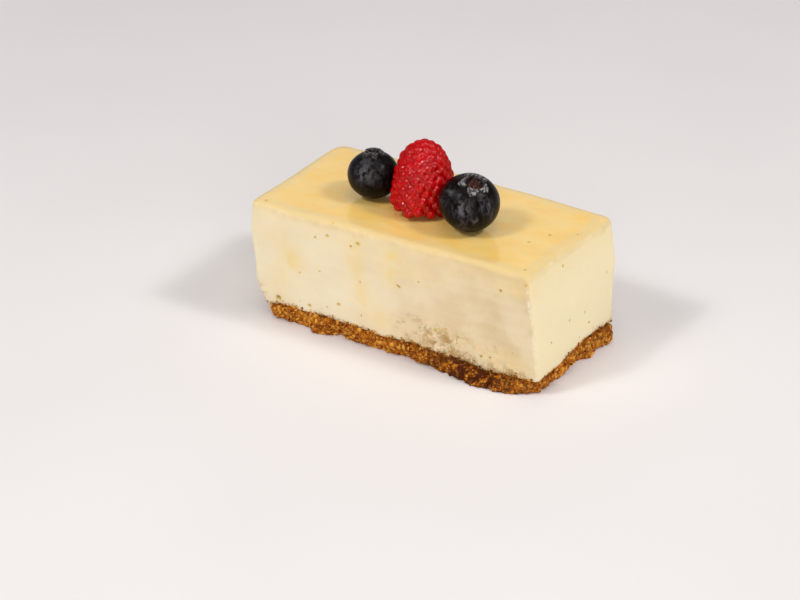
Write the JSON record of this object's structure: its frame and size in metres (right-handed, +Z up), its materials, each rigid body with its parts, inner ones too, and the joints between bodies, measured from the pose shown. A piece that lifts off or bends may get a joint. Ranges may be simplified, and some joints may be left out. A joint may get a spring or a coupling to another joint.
{
  "type": "baked cheesecake bar",
  "caption": "Rectangular bar of baked cheesecake: a pale set filling with a yellow baked top, on a pressed biscuit crumb base, with blueberries and a raspberry on top.",
  "frame": {"origin": "under the middle of the whole, on the surface that the bar stands on", "axes": "+X along the bar, +Y across it from the long face seen first to the back, +Z up"},
  "size_m": [0.1036, 0.0522, 0.0625],
  "materials": {
    "biscuit": "coarse, dry, buttery biscuit crumb",
    "filling": "smooth set cream cheese, satin on the cut faces and moist and yellow on the baked top",
    "blueberry": "dark skin with a dull, pale bloom",
    "raspberry": "glossy, translucent drupelets"
  },
  "bodies": {
    "root": {"biscuit_base": "biscuit", "filling": "filling", "blueberry_left": "blueberry", "blueberry_right": "blueberry", "raspberry": "raspberry"}
  },
  "joints": []
}
